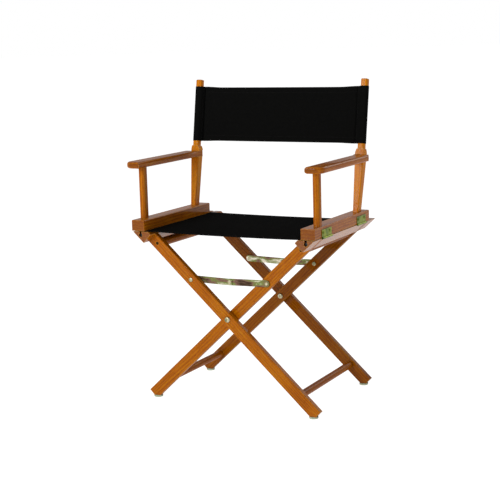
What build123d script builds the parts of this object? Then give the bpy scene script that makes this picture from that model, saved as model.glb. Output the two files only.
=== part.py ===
from build123d import *
import os
from math import atan2, cos, degrees, hypot, radians, sin

os.makedirs("parts", exist_ok=True)

# A folding director chair. Two crossed frames turn on two pivot bolts, and an arm frame is
# hinged to the seat rail at the top of each crossed frame.
# X is across the chair, the front faces -Y, Z is up, and the glides stand on Z = 0.

# Clearances
FIT = 0.05                # a pin in its hole
CLEAR = 0.3               # between pieces that pass each other
FACE = 0.1                # between flat faces that turn on each other

# Crossed frames
LEG_SLOPE = 43.0          # degrees above the floor when the chair is open
PIVOT_Z = 245.0
LEG_W = 32.0
LEG_T = 16.0
OUTER_Y = 180.0           # outside face of the outer frame's legs, front and rear
FOOT_CUT = 12.35          # how much of a leg's width is cut flat at the floor
EDGE_R = 1.8

# Seat rails
RAIL_TOP = 474.0
RAIL_FACE = 45.0          # the rail's outer face, down the slope
RAIL_FRONT_OVER = 26.0    # past the outer frame's legs
RAIL_REAR_OVER = 28.0
TONGUE = 14.0             # depth of the leg's tongue in the rail

# Stretchers, glides and screws
STRETCHER_BELOW = 22.0    # upper stretcher, below the rail along the leg
STRETCHER_ABOVE = 70.0    # lower stretcher, above the leg's end along the leg
UPPER_STRETCHER_R = 12.0
LOWER_STRETCHER_R = 10.0
SOCKET = 10.0
GLIDE_R = 12.5
GLIDE_H = 5.0
PRONG_R = 1.5
PRONG_L = 12.0
SCREW_R = 2.0
HEAD_R = 4.0
HEAD_H = 2.0
HEAD_EASE = 0.7           # round on a screw head's rim
CROSS_L = 4.4             # cross recess in a screw head
CROSS_W = 1.1
CROSS_D = 0.9
RECESS_ROOM = 0.5
RECESS = 4.0

# Pivot bolts
BOLT_R = 4.0
BOLT_HEAD_R = 8.0
BOLT_HEAD_H = 4.5
SOCKET_AF = 5.0
NUT_AF = 13.0
NUT_H = 6.0
WASHER_R = 9.0
WASHER_T = 1.5
SPACER_R = 11.0
BOLT_END = 1.8            # past the nut

# Folding braces
BRACE_REACH = 148.0
BRACE_DROP = 2.5
BRACE_W = 18.0
BRACE_T = 1.5
BRACE_SPLIT = 0.2         # between the two plates of a pair
BEAD_W = 5.0
BEAD_D = 0.5
RIVET_R = 3.0
RIVET_HEAD_R = 5.0
RIVET_HEAD_H = 1.0
RIVET_ROOM = 0.4          # between a rivet's head and the leg beside it
LEG_RIVET_HEAD_R = 6.0
LEG_RIVET_HEAD_H = 2.4
PEEN_R = 4.2
PEEN_H = 0.8

# Canvas
CLOTH_T = 1.4
SLEEVE_T = 1.35
ROD_R = 4.0
ROD_ROOM = 0.25           # round the hem in its slot
ROD_HOLD = 0.8            # how much wider the rod is than the slot's mouth
KEY_WALL = 4.0            # wood above the slot's round
KEY_IN = 24.0             # from the rail's outer edge to the slot
SEAT_FRONT_IN = 6.0       # behind the front end of the rail
SEAT_REAR_IN = 38.0
SEAM_W = 9.0
BACK_T = 2.0
BACK_GAP = 20.0           # between the shoulder and the back's lower edge
BACK_H = 157.0
BACK_TIP = 20.0           # of the post's neck above the back
NECK_ROOM = 0.2

# Arm frames
BASE_W = 39.0
BASE_H = 29.0
BASE_OVER = 2.0           # past the seat rail's outer edge
BASE_FRONT_OVER = 2.0     # past the front end of the seat rail
BASE_REAR_IN = 50.0
WOOD_R = 2.5
ARM_RISE = 138.0          # between the base rail and the armrest
ARM_W = 47.0
ARM_H = 18.0
ARM_FRONT_IN = 5.0
ARM_R = 7.0
ARM_CORNER = 24.0         # the armrest's front outer corner
POST_IN = 48.0            # each post, in from the end of the base rail
FRONT_POST_IN = 12.5      # in from the base rail's outer face
FRONT_POST_W = 18.0
FRONT_POST_D = 22.0
FRONT_POST_R = 6.5
TENON_R = 6.0
TENON = 12.0
BACK_LEAN = 9.8           # degrees
NECK_IN = 13.0            # in from the base rail's outer face
NECK = 19.0
NECK_R = 5.0
FOOT_IN = 11.0            # each side of the neck's centre line, at the foot
FOOT_OUT = 3.0
SHOULDER_IN = 14.5
SHOULDER_OUT = 12.5
SHOULDER_RISE = 7.7       # above the armrest
BACK_POST_D = 24.0
LAP = 10.0                # how far the armrest's tongue is let into the post
LAP_STEP = 0.5            # the tongue stands back from the post's inner face
BEVEL = 12.0

# Butt hinges between the arm frames and the seat rails
HINGE_L = 60.0
HINGE_FRONT_IN = 74.0     # its middle, in from the end of the base rail
HINGE_REAR_IN = 60.0
PIN_R = 1.4
BARREL_R = 2.6
LEAF_T = 1.4
LEAF_H = 21.0
LEAF_SCREW_UP = 13.0
LEAF_SCREW_IN = 9.0
LEAF_IN = 4.0             # from the slot's mouth to the lower leaf

FRAME_GAP = BRACE_SPLIT + 2 * (BRACE_T + RIVET_HEAD_H + RIVET_ROOM)
INNER_Y = OUTER_Y - LEG_T - FRAME_GAP
RAIL_FRONT = -OUTER_Y - RAIL_FRONT_OVER
RAIL_REAR = OUTER_Y + RAIL_REAR_OVER
KEY_R = ROD_R + SLEEVE_T + ROD_ROOM
KEY_DEPTH = KEY_R + KEY_WALL
KEY_NECK = 2 * ROD_R - ROD_HOLD
RECESS_R = HEAD_R + RECESS_ROOM

SIN = sin(radians(LEG_SLOPE))
COS = cos(radians(LEG_SLOPE))
HALF_W = LEG_W / 2
NAMES = {-1: "left", 1: "right"}


def at(side, along, out):
    """A point of the front view: along the leg from the pivot, and out to its lower edge."""
    return side * (along * COS + out * SIN), PIVOT_Z + along * SIN - out * COS


def along_at(height, out):
    """How far up the leg a line parallel to its centre reaches a height."""
    return (height - PIVOT_Z + out * COS) / SIN


def facing_front(y):
    """The front view's plane at a depth, where extrude runs towards the front."""
    return Plane.XZ.offset(-y)


def outline(points):
    """A closed face on the current sketch."""
    Polygon(*points, align=None)


def save(piece, name):
    piece.part.label = name
    export_step(piece.part, f"parts/{name}.step")


RAIL_LOW = along_at(RAIL_TOP, HALF_W) - RAIL_FACE
RAIL_EDGE = at(1, along_at(RAIL_TOP, HALF_W), HALF_W)[0]
TONGUE_OUT = HALF_W - TONGUE
KEY_X = RAIL_EDGE - KEY_IN
KEY_Z = RAIL_TOP - KEY_DEPTH
FOOT_LOW = HALF_W - FOOT_CUT
LEG_BELOW = (PIVOT_Z - GLIDE_H - FOOT_LOW * COS) / SIN
UPPER_STRETCHER = RAIL_LOW - STRETCHER_BELOW
LOWER_STRETCHER = STRETCHER_ABOVE - LEG_BELOW


def cut_keyhole(side, rear, length):
    """The slot in the seat rail's top that takes the hem of the seat."""
    with BuildSketch(facing_front(rear)) as shape:
        with Locations((side * KEY_X, KEY_Z)):
            Circle(KEY_R)
            Rectangle(KEY_NECK, 2 * KEY_DEPTH, align=(Align.CENTER, Align.MIN))
    extrude(shape.sketch, amount=length, mode=Mode.SUBTRACT)


def rims_at(piece, places, axis="Y"):
    """The round edges of heads whose outer faces stand at these places along an axis."""
    rounds = piece.edges().filter_by(GeomType.CIRCLE)
    return rounds.filter_by(
        lambda e: min(abs(getattr(e.center(), axis) - p) for p in places) < FIT)


def cut_cross(plane, spots, depth):
    """Cross recesses in screw heads whose outer faces lie on a plane."""
    with BuildSketch(plane) as shape:
        with Locations(*spots):
            Rectangle(CROSS_L, CROSS_W)
            Rectangle(CROSS_W, CROSS_L)
    extrude(shape.sketch, amount=depth, mode=Mode.SUBTRACT)


def cut_hole(point, y, depth, radius):
    """A round hole from a depth towards the front, or towards the rear if depth is negative."""
    with BuildSketch(facing_front(y)) as shape:
        with Locations(point):
            Circle(radius)
    extrude(shape.sketch, amount=depth, mode=Mode.SUBTRACT)


# ---------------------------------------------------------------- crossed frames

def leg_faces(side, end):
    """The outside and inside faces of a leg: end is -1 at the front and 1 at the rear."""
    outside = OUTER_Y if side < 0 else INNER_Y
    return end * outside, end * (outside - LEG_T)


def make_leg(side, end):
    outside, inside = leg_faces(side, end)
    rear = max(outside, inside)
    foot_in = along_at(GLIDE_H, HALF_W)
    points = [
        (foot_in, HALF_W),
        (-LEG_BELOW, FOOT_LOW),
        (-LEG_BELOW, -HALF_W),
        (RAIL_LOW, -HALF_W),
        (RAIL_LOW, TONGUE_OUT),
        (along_at(RAIL_TOP, TONGUE_OUT), TONGUE_OUT),
        (along_at(RAIL_TOP, HALF_W), HALF_W),
    ]
    flat_x = (at(side, foot_in, HALF_W)[0] + at(side, -LEG_BELOW, FOOT_LOW)[0]) / 2
    with BuildPart() as leg:
        with BuildSketch(facing_front(rear)):
            outline([at(side, a, b) for a, b in points])
        extrude(amount=LEG_T)
        fillet(leg.edges().filter_by(lambda e: e.length > LEG_BELOW), EDGE_R)
        cut_keyhole(side, rear, LEG_T)
        cut_hole(at(side, 0, 0), rear, LEG_T, BOLT_R + FIT)
        cut_hole(at(side, BRACE_REACH, 0), rear, LEG_T, RIVET_R + FIT)
        for reach, radius in (
            (LOWER_STRETCHER, LOWER_STRETCHER_R),
            (UPPER_STRETCHER, UPPER_STRETCHER_R),
        ):
            cut_hole(at(side, reach, 0), inside, -end * SOCKET, radius)
        cut_hole(at(side, UPPER_STRETCHER, 0), inside, -end * LEG_T, SCREW_R + FIT)
        cut_hole(at(side, UPPER_STRETCHER, 0), outside, end * RECESS, RECESS_R)
        with BuildSketch(Plane.XY.offset(GLIDE_H)):
            with Locations((flat_x, (outside + inside) / 2)):
                Circle(PRONG_R)
        extrude(amount=PRONG_L, mode=Mode.SUBTRACT)
    return leg, flat_x, (outside + inside) / 2


def make_seat_rail(side):
    inner = HALF_W - LEG_W
    section = [
        (RAIL_LOW, HALF_W),
        (RAIL_LOW, inner),
        (along_at(RAIL_TOP, inner), inner),
        (along_at(RAIL_TOP, HALF_W), HALF_W),
    ]
    beyond = RAIL_FACE + LEG_W
    dado = [
        (RAIL_LOW, HALF_W + LEG_W),
        (RAIL_LOW, TONGUE_OUT),
        (RAIL_LOW + beyond, TONGUE_OUT),
        (RAIL_LOW + beyond, HALF_W + LEG_W),
    ]
    with BuildPart() as rail:
        with BuildSketch(facing_front(RAIL_REAR)):
            outline([at(side, a, b) for a, b in section])
        extrude(amount=RAIL_REAR - RAIL_FRONT)
        fillet(rail.edges().filter_by(Axis.Y), EDGE_R / 2)
        for end in (-1, 1):
            with BuildSketch(facing_front(max(leg_faces(side, end)))):
                outline([at(side, a, b) for a, b in dado])
            extrude(amount=LEG_T, mode=Mode.SUBTRACT)
        cut_keyhole(side, RAIL_REAR, RAIL_REAR - RAIL_FRONT)
    return rail


def make_stretcher(side, reach, radius, screwed):
    """A turned bar between the two legs of one frame, tenoned into both."""
    inside = abs(leg_faces(side, 1)[1])
    half = inside + SOCKET
    with BuildPart() as bar:
        with BuildSketch(facing_front(half)):
            with Locations(at(side, reach, 0)):
                Circle(radius)
        extrude(amount=2 * half)
        if screwed:
            for end in (-1, 1):
                cut_hole(at(side, reach, 0), end * half, end * (TENON + LEG_T), SCREW_R + FIT)
    return bar


def make_stretcher_screws(side):
    """Round-headed screws in recesses of the legs, into the ends of the upper stretcher."""
    outside = abs(leg_faces(side, 1)[0])
    top = outside - RECESS + HEAD_H
    with BuildPart() as screws:
        for end in (-1, 1):
            seat = end * (outside - RECESS)
            with BuildSketch(facing_front(seat)):
                with Locations(at(side, UPPER_STRETCHER, 0)):
                    Circle(HEAD_R)
            extrude(amount=-end * HEAD_H)
            with BuildSketch(facing_front(seat)):
                with Locations(at(side, UPPER_STRETCHER, 0)):
                    Circle(SCREW_R)
            extrude(amount=end * (LEG_T + TENON - RECESS))
        fillet(rims_at(screws, (-top, top)), HEAD_EASE)
        for end in (-1, 1):
            spot = at(side, UPPER_STRETCHER, 0)
            cut_cross(facing_front(end * top), [spot], end * CROSS_D)
    return screws


def make_glides(spots):
    """Moulded glides, each with a prong pushed up into the end of its leg."""
    with BuildPart() as glides:
        with BuildSketch(Plane.XY):
            with Locations(*spots):
                Circle(GLIDE_R)
        extrude(amount=GLIDE_H)
        fillet(glides.edges().filter_by(GeomType.CIRCLE), EDGE_R / 2)
        with BuildSketch(Plane.XY.offset(GLIDE_H)):
            with Locations(*spots):
                Circle(PRONG_R)
        extrude(amount=PRONG_L)
    return glides


# Depths of the brace plates in the gap between the frames: the plate of the left frame lies
# nearer to that frame, in front at the front of the chair and behind at the rear.
GAP_MIDDLE = OUTER_Y - LEG_T - FRAME_GAP / 2
PLATE_OUTER = GAP_MIDDLE + BRACE_SPLIT / 2
PLATE_INNER = GAP_MIDDLE - BRACE_SPLIT / 2 - BRACE_T


def plate_faces(side, end):
    """The two faces of a brace plate, lowest Y first."""
    near = PLATE_OUTER if side < 0 else PLATE_INNER
    return sorted((end * near, end * (near + BRACE_T)))


def disc(point, low, high, radius, mode=Mode.ADD):
    """A round between two depths."""
    with BuildSketch(facing_front(high)) as shape:
        with Locations(point):
            Circle(radius)
    extrude(shape.sketch, amount=high - low, mode=mode)


def head(point, face, out, radius, height):
    """A head standing out of a face, towards the front or the rear."""
    with BuildSketch(facing_front(face)) as shape:
        with Locations(point):
            Circle(radius)
    extrude(shape.sketch, amount=-out * height)


RIM = 0.75                # share of a head's height that its rim is rounded over


def make_leg_rivets(side):
    """Rivets through the legs, on which the braces turn: head outside, peened inside."""
    spot = at(side, BRACE_REACH, 0)
    tops = []
    with BuildPart() as rivets:
        for end in (-1, 1):
            outside, inside = leg_faces(side, end)
            head_face, gap_face = (outside, inside) if side < 0 else (inside, outside)
            low, high = plate_faces(side, end)
            direction = 1 if gap_face > head_face else -1
            peen = (high if direction > 0 else low) + direction * FIT
            head(spot, head_face, -direction, LEG_RIVET_HEAD_R, LEG_RIVET_HEAD_H)
            disc(spot, *sorted((head_face, peen)), RIVET_R)
            head(spot, peen, direction, PEEN_R, PEEN_H)
            tops.append(head_face - direction * LEG_RIVET_HEAD_H)
        fillet(rims_at(rivets, tops), LEG_RIVET_HEAD_H * RIM)
    return rivets


def make_brace_spacers(side):
    """Washers that hold the brace plates off the legs."""
    spot = at(side, BRACE_REACH, 0)
    with BuildPart() as spacers:
        for end in (-1, 1):
            outside, inside = leg_faces(side, end)
            gap_face = inside if side < 0 else outside
            low, high = plate_faces(side, end)
            if gap_face < low:
                disc(spot, gap_face, low - FIT, LEG_RIVET_HEAD_R)
                disc(spot, gap_face, low - FIT, RIVET_R + FIT, Mode.SUBTRACT)
            else:
                disc(spot, high + FIT, gap_face, LEG_RIVET_HEAD_R)
                disc(spot, high + FIT, gap_face, RIVET_R + FIT, Mode.SUBTRACT)
    return spacers


BRACE_L = hypot(BRACE_REACH * COS, BRACE_DROP)
BRACE_MID = (0, PIVOT_Z + BRACE_REACH * SIN - BRACE_DROP)


def make_brace_link(side, end):
    """A pressed steel link with round ends and a long bead down its middle."""
    low, high = plate_faces(side, end)
    spot = at(side, BRACE_REACH, 0)
    middle = (spot[0] / 2, (spot[1] + BRACE_MID[1]) / 2)
    tilt = side * degrees(atan2(BRACE_DROP, BRACE_REACH * COS))
    with BuildPart() as link:
        with BuildSketch(facing_front(high)):
            with Locations(Location(middle, tilt)):
                SlotCenterToCenter(BRACE_L, BRACE_W)
            with Locations(spot, BRACE_MID):
                Circle(RIVET_R + FIT, mode=Mode.SUBTRACT)
        extrude(amount=high - low)
        with BuildSketch(facing_front(low)):
            with Locations(Location(middle, tilt)):
                SlotCenterToCenter(BRACE_L - 2 * BRACE_W, BEAD_W)
        extrude(amount=-BEAD_D, mode=Mode.SUBTRACT)
    return link


def make_middle_rivet_half(side, end):
    """Half of the rivet that joins a brace's two links: a head and the shank in one plate."""
    low, high = plate_faces(side, end)
    head_low = (side < 0) == (end < 0)
    with BuildPart() as rivet:
        disc(BRACE_MID, low, high, RIVET_R)
        face, out = (low, -1) if head_low else (high, 1)
        head(BRACE_MID, face, out, RIVET_HEAD_R, RIVET_HEAD_H)
    return rivet


for side, name in NAMES.items():
    spots = []
    for end, place in ((-1, "front"), (1, "rear")):
        leg, x, y = make_leg(side, end)
        spots.append((x, y))
        save(leg, f"{name}_frame_{place}_leg")
        save(make_brace_link(side, end), f"{place}_{name}_brace_link")
        save(make_middle_rivet_half(side, end), f"{place}_{name}_brace_rivet_half")
    save(make_glides(spots), f"{name}_frame_glides")
    save(make_seat_rail(side), f"{name}_seat_rail")
    upper = make_stretcher(side, UPPER_STRETCHER, UPPER_STRETCHER_R, True)
    lower = make_stretcher(side, LOWER_STRETCHER, LOWER_STRETCHER_R, False)
    save(upper, f"{name}_frame_upper_stretcher")
    save(lower, f"{name}_frame_lower_stretcher")
    save(make_stretcher_screws(side), f"{name}_frame_stretcher_screws")
    save(make_leg_rivets(side), f"{name}_frame_brace_rivets")
    save(make_brace_spacers(side), f"{name}_frame_brace_spacers")


# ---------------------------------------------------------------- pivot bolts

PIVOT = (0, PIVOT_Z)
# Each bolt's head faces the front: on the left frame's leg at the front of the chair, and on
# the right frame's leg at the rear.
BOLT_SPANS = ((-OUTER_Y, -INNER_Y + LEG_T), (INNER_Y - LEG_T, OUTER_Y))

with BuildPart() as pivot_bolts:
    for front, rear in BOLT_SPANS:
        disc(PIVOT, front - FACE, rear + FACE + WASHER_T + NUT_H + BOLT_END, BOLT_R)
        head(PIVOT, front - FACE, -1, BOLT_HEAD_R, BOLT_HEAD_H)
    tops = [front - FACE - BOLT_HEAD_H for front, rear in BOLT_SPANS]
    fillet(rims_at(pivot_bolts, tops), BOLT_HEAD_H * RIM)
    for front, rear in BOLT_SPANS:
        with BuildSketch(facing_front(front - BOLT_HEAD_H / 2)):
            with Locations(PIVOT):
                RegularPolygon(SOCKET_AF / 2, 6, major_radius=False)
        extrude(amount=BOLT_HEAD_H, mode=Mode.SUBTRACT)
save(pivot_bolts, "pivot_bolts")

with BuildPart() as pivot_nuts:
    for front, rear in BOLT_SPANS:
        low = rear + FACE + WASHER_T
        with BuildSketch(facing_front(low + NUT_H)):
            with Locations(PIVOT):
                RegularPolygon(NUT_AF / 2, 6, major_radius=False)
                Circle(BOLT_R, mode=Mode.SUBTRACT)
        extrude(amount=NUT_H)
save(pivot_nuts, "pivot_nuts")

with BuildPart() as pivot_washers:
    for front, rear in BOLT_SPANS:
        disc(PIVOT, rear + FACE, rear + FACE + WASHER_T, WASHER_R)
        disc(PIVOT, rear + FACE, rear + FACE + WASHER_T, BOLT_R, Mode.SUBTRACT)
save(pivot_washers, "pivot_washers")

with BuildPart() as pivot_spacers:
    for end in (-1, 1):
        low = end * GAP_MIDDLE - FRAME_GAP / 2 + FACE
        disc(PIVOT, low, low + FRAME_GAP - 2 * FACE, SPACER_R)
        disc(PIVOT, low, low + FRAME_GAP - 2 * FACE, BOLT_R, Mode.SUBTRACT)
save(pivot_spacers, "pivot_spacers")


# ---------------------------------------------------------------- arm frames

LEAN = radians(BACK_LEAN)
BASE_BOTTOM = RAIL_TOP + max(CLOTH_T, LEAF_T) + 2 * CLEAR
BASE_TOP = BASE_BOTTOM + BASE_H
BASE_OUT = RAIL_EDGE + BASE_OVER
BASE_IN = BASE_OUT - BASE_W
BASE_FRONT = RAIL_FRONT - BASE_FRONT_OVER
BASE_REAR = RAIL_REAR - BASE_REAR_IN
FRONT_POST_X = BASE_OUT - FRONT_POST_IN
FRONT_POST_Y = BASE_FRONT + POST_IN
BACK_POST_Y = BASE_REAR - POST_IN
NECK_X = BASE_OUT - NECK_IN
FOOT_MIDDLE = NECK_X + (FOOT_OUT - FOOT_IN) / 2
ARM_IN = NECK_X - SHOULDER_IN + LAP_STEP
ARM_BOTTOM = BASE_TOP + ARM_RISE
ARM_FRONT = BASE_FRONT + ARM_FRONT_IN
SHOULDER_UP = (ARM_RISE + ARM_H) / cos(LEAN) + SHOULDER_RISE
BACK_LOW = SHOULDER_UP + BACK_GAP
BACK_HIGH = BACK_LOW + BACK_H
NECK_TOP = BACK_HIGH + BACK_TIP


def post_plane(depth):
    """The leaning back post's front view, on the base rail, at a depth behind its middle."""
    start = (0, BACK_POST_Y + depth * cos(LEAN), BASE_TOP - depth * sin(LEAN))
    return Plane(origin=start, x_dir=(1, 0, 0), z_dir=(0, -cos(LEAN), sin(LEAN)))


def post_y(height, depth):
    """Where the leaning post's face stands at a height above the floor."""
    return BACK_POST_Y + (height - BASE_TOP) * sin(LEAN) / cos(LEAN) + depth / cos(LEAN)


ARM_SCREW_Y = post_y(ARM_BOTTOM + ARM_H / 2, 0)
ARM_REAR = post_y(ARM_BOTTOM, -BACK_POST_D / 2) - FACE
ARM_TONGUE_REAR = post_y(ARM_BOTTOM, BACK_POST_D / 2)


def block(x1, x2, y1, y2, z1, z2, mode=Mode.ADD):
    with BuildSketch(Plane.XY.offset(z1)) as shape:
        with Locations(((x1 + x2) / 2, (y1 + y2) / 2)):
            Rectangle(abs(x2 - x1), y2 - y1)
    extrude(shape.sketch, amount=z2 - z1, mode=mode)


def cut_tenon_hole(x, y, z, depth):
    with BuildSketch(Plane.XY.offset(z)) as shape:
        with Locations((x, y)):
            Circle(TENON_R)
    extrude(shape.sketch, amount=depth, mode=Mode.SUBTRACT)


def make_base_rail(side):
    with BuildPart() as rail:
        block(side * BASE_IN, side * BASE_OUT, BASE_FRONT, BASE_REAR, BASE_BOTTOM, BASE_TOP)
        fillet(rail.edges().filter_by(Axis.Y).group_by(Axis.Z)[-1], WOOD_R)
        fillet(rail.edges().group_by(Axis.Y)[0].filter_by(Axis.Z), WOOD_R)
        fillet(rail.edges().group_by(Axis.Y)[-1].filter_by(Axis.Z), WOOD_R)
        cut_tenon_hole(side * FRONT_POST_X, FRONT_POST_Y, BASE_TOP, -TENON)
        cut_tenon_hole(side * FOOT_MIDDLE, BACK_POST_Y, BASE_TOP, -TENON)
    return rail


def make_front_post(side):
    with BuildPart() as post:
        with BuildSketch(Plane.XY.offset(BASE_TOP)):
            with Locations((side * FRONT_POST_X, FRONT_POST_Y)):
                RectangleRounded(FRONT_POST_W, FRONT_POST_D, FRONT_POST_R)
        extrude(amount=ARM_BOTTOM - BASE_TOP)
        with BuildSketch(Plane.XY.offset(BASE_TOP - TENON)):
            with Locations((side * FRONT_POST_X, FRONT_POST_Y)):
                Circle(TENON_R)
        extrude(amount=ARM_BOTTOM - BASE_TOP + 2 * TENON)
    return post


def make_back_post(side):
    inner, outer = side * (NECK_X - SHOULDER_IN), side * (NECK_X + SHOULDER_OUT)
    waist = SHOULDER_UP - BEVEL / 2
    below = -BACK_POST_D
    with BuildPart() as post:
        with BuildSketch(post_plane(BACK_POST_D / 2)):
            outline([
                (side * (NECK_X - FOOT_IN), below),
                (side * (NECK_X + FOOT_OUT), below),
                (outer, waist),
                (side * (NECK_X + NECK / 2), SHOULDER_UP + BEVEL / 2),
                (side * (NECK_X - NECK / 2), SHOULDER_UP + BEVEL / 2),
                (inner, waist),
            ])
        extrude(amount=BACK_POST_D)
        fillet(post.edges().filter_by(lambda e: e.length > waist), WOOD_R)
        with BuildSketch(Plane(
            origin=(0, BACK_POST_Y, BASE_TOP),
            x_dir=(1, 0, 0),
            z_dir=(0, sin(LEAN), cos(LEAN)),
        ).offset(waist)):
            with Locations((side * NECK_X, 0)):
                RectangleRounded(NECK, NECK, NECK_R)
        extrude(amount=NECK_TOP - waist)
        fillet(post.faces().sort_by(Axis.Z)[-1].edges(), WOOD_R)
        split(bisect_by=Plane.XY.offset(BASE_TOP), keep=Keep.TOP)
        with BuildSketch(Plane.XY.offset(BASE_TOP)):
            with Locations((side * FOOT_MIDDLE, BACK_POST_Y)):
                Circle(TENON_R)
        extrude(amount=-TENON)
        block(side * (ARM_IN - LAP), side * (ARM_IN + LAP), ARM_REAR - LAP, ARM_TONGUE_REAR + LAP,
              ARM_BOTTOM, ARM_BOTTOM + ARM_H, Mode.SUBTRACT)
        with BuildSketch(Plane.YZ.offset(side * ARM_IN)):
            with Locations((ARM_SCREW_Y, ARM_BOTTOM + ARM_H / 2)):
                Circle(SCREW_R + FIT)
        extrude(amount=side * ARM_W, mode=Mode.SUBTRACT)
        with BuildSketch(Plane.YZ.offset(side * (NECK_X + SHOULDER_OUT - RECESS))):
            with Locations((ARM_SCREW_Y, ARM_BOTTOM + ARM_H / 2)):
                Circle(RECESS_R)
        extrude(amount=side * ARM_W, mode=Mode.SUBTRACT)
    return post


def make_armrest(side):
    with BuildPart() as arm:
        block(side * ARM_IN, side * (ARM_IN + ARM_W), ARM_FRONT, ARM_REAR,
              ARM_BOTTOM, ARM_BOTTOM + ARM_H)
        uprights = arm.edges().filter_by(Axis.Z)
        corner = uprights.group_by(Axis.Y)[0].sort_by(Axis.X)
        rear_corner = uprights.group_by(Axis.Y)[-1].sort_by(Axis.X)
        outside = -1 if side > 0 else 0
        fillet(corner[outside], ARM_CORNER)
        chamfer(rear_corner[outside], BEVEL, BEVEL / 2)
        top_and_bottom = [arm.faces().sort_by(Axis.Z)[i] for i in (0, -1)]
        for face in top_and_bottom:
            rim = face.edges().filter_by(lambda e: e.center().Y < ARM_REAR - BEVEL)
            fillet(rim, ARM_R)
        block(side * ARM_IN, side * (ARM_IN + LAP), ARM_REAR - ARM_R, ARM_TONGUE_REAR,
              ARM_BOTTOM, ARM_BOTTOM + ARM_H)
        with BuildSketch(Plane.XY.offset(ARM_BOTTOM)):
            with Locations((side * FRONT_POST_X, FRONT_POST_Y)):
                Circle(TENON_R)
        extrude(amount=TENON, mode=Mode.SUBTRACT)
        with BuildSketch(Plane.YZ.offset(side * (ARM_IN + LAP))):
            with Locations((ARM_SCREW_Y, ARM_BOTTOM + ARM_H / 2)):
                Circle(SCREW_R + FIT)
        extrude(amount=-side * (LAP - HEAD_H), mode=Mode.SUBTRACT)
    return arm


def make_armrest_screw(side):
    seat = NECK_X + SHOULDER_OUT - RECESS
    with BuildPart() as screw:
        with BuildSketch(Plane.YZ.offset(side * seat)):
            with Locations((ARM_SCREW_Y, ARM_BOTTOM + ARM_H / 2)):
                Circle(HEAD_R)
        extrude(amount=side * HEAD_H)
        with BuildSketch(Plane.YZ.offset(side * seat)):
            with Locations((ARM_SCREW_Y, ARM_BOTTOM + ARM_H / 2)):
                Circle(SCREW_R)
        extrude(amount=-side * (seat - ARM_IN - HEAD_H - FIT))
        fillet(rims_at(screw, [side * (seat + HEAD_H)], "X"), HEAD_EASE)
        spot = (ARM_SCREW_Y, ARM_BOTTOM + ARM_H / 2)
        cut_cross(Plane.YZ.offset(side * (seat + HEAD_H)), [spot], -side * CROSS_D)
    return screw


for side, name in NAMES.items():
    save(make_base_rail(side), f"{name}_base_rail")
    save(make_front_post(side), f"{name}_front_post")
    save(make_back_post(side), f"{name}_back_post")
    save(make_armrest(side), f"{name}_armrest")
    save(make_armrest_screw(side), f"{name}_armrest_screw")


# ---------------------------------------------------------------- butt hinges

HINGE_Y = (BASE_FRONT + HINGE_FRONT_IN, BASE_REAR - HINGE_REAR_IN)
HINGE_PIN_X = BASE_OUT + BARREL_R - FACE
HINGE_PIN_Z = (RAIL_TOP + BASE_BOTTOM) / 2
HINGE_SCREW_OUT = HINGE_L / 2 - LEAF_SCREW_IN
HINGE_SCREW_Z = BASE_BOTTOM + LEAF_SCREW_UP
UPPER_LEAF_TOP = BASE_BOTTOM + LEAF_H
LOWER_LEAF_IN = KEY_X + KEY_NECK / 2 + LEAF_IN
KNUCKLES = 5
KNUCKLE = HINGE_L / KNUCKLES
UPPER_LEAF_BOTTOM = HINGE_PIN_Z + BARREL_R + CLEAR
LOWER_LEAF_OUT = HINGE_PIN_X - BARREL_R - CLEAR


def knuckles(side, middle, which):
    """The rolled knuckles of one leaf, with the tabs that join them to it."""
    for number in which:
        rear = middle - HINGE_L / 2 + (number + 1) * KNUCKLE - FACE
        front = rear - KNUCKLE + 2 * FACE
        disc((side * HINGE_PIN_X, HINGE_PIN_Z), front, rear, BARREL_R)
        yield front, rear


def make_arm_leaves(side):
    with BuildPart() as leaves:
        for middle in HINGE_Y:
            front, rear = middle - HINGE_L / 2, middle + HINGE_L / 2
            inner, outer = side * BASE_OUT, side * (BASE_OUT + LEAF_T)
            block(inner, outer, front, rear, UPPER_LEAF_BOTTOM, UPPER_LEAF_TOP)
            for low, high in knuckles(side, middle, (1, 3)):
                block(inner, outer, low, high, HINGE_PIN_Z, UPPER_LEAF_BOTTOM)
            disc((side * HINGE_PIN_X, HINGE_PIN_Z), front, rear, PIN_R + FIT, Mode.SUBTRACT)
            with BuildSketch(Plane.YZ.offset(inner)):
                for offset in (-HINGE_SCREW_OUT, HINGE_SCREW_OUT):
                    with Locations((middle + offset, HINGE_SCREW_Z)):
                        Circle(SCREW_R + FIT)
            extrude(amount=side * LEAF_T, mode=Mode.SUBTRACT)
    return leaves


def make_rail_leaves(side):
    with BuildPart() as leaves:
        for middle in HINGE_Y:
            front, rear = middle - HINGE_L / 2, middle + HINGE_L / 2
            top = RAIL_TOP + LEAF_T
            block(side * LOWER_LEAF_IN, side * LOWER_LEAF_OUT, front, rear, RAIL_TOP, top)
            for low, high in knuckles(side, middle, (0, 2, 4)):
                block(side * LOWER_LEAF_OUT, side * HINGE_PIN_X, low, high, RAIL_TOP, top)
            disc((side * HINGE_PIN_X, HINGE_PIN_Z), front, rear, PIN_R + FIT, Mode.SUBTRACT)
    return leaves


def make_hinge_pins(side):
    with BuildPart() as pins:
        for middle in HINGE_Y:
            spot = (side * HINGE_PIN_X, HINGE_PIN_Z)
            disc(spot, middle - HINGE_L / 2, middle + HINGE_L / 2, PIN_R)
    return pins


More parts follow.
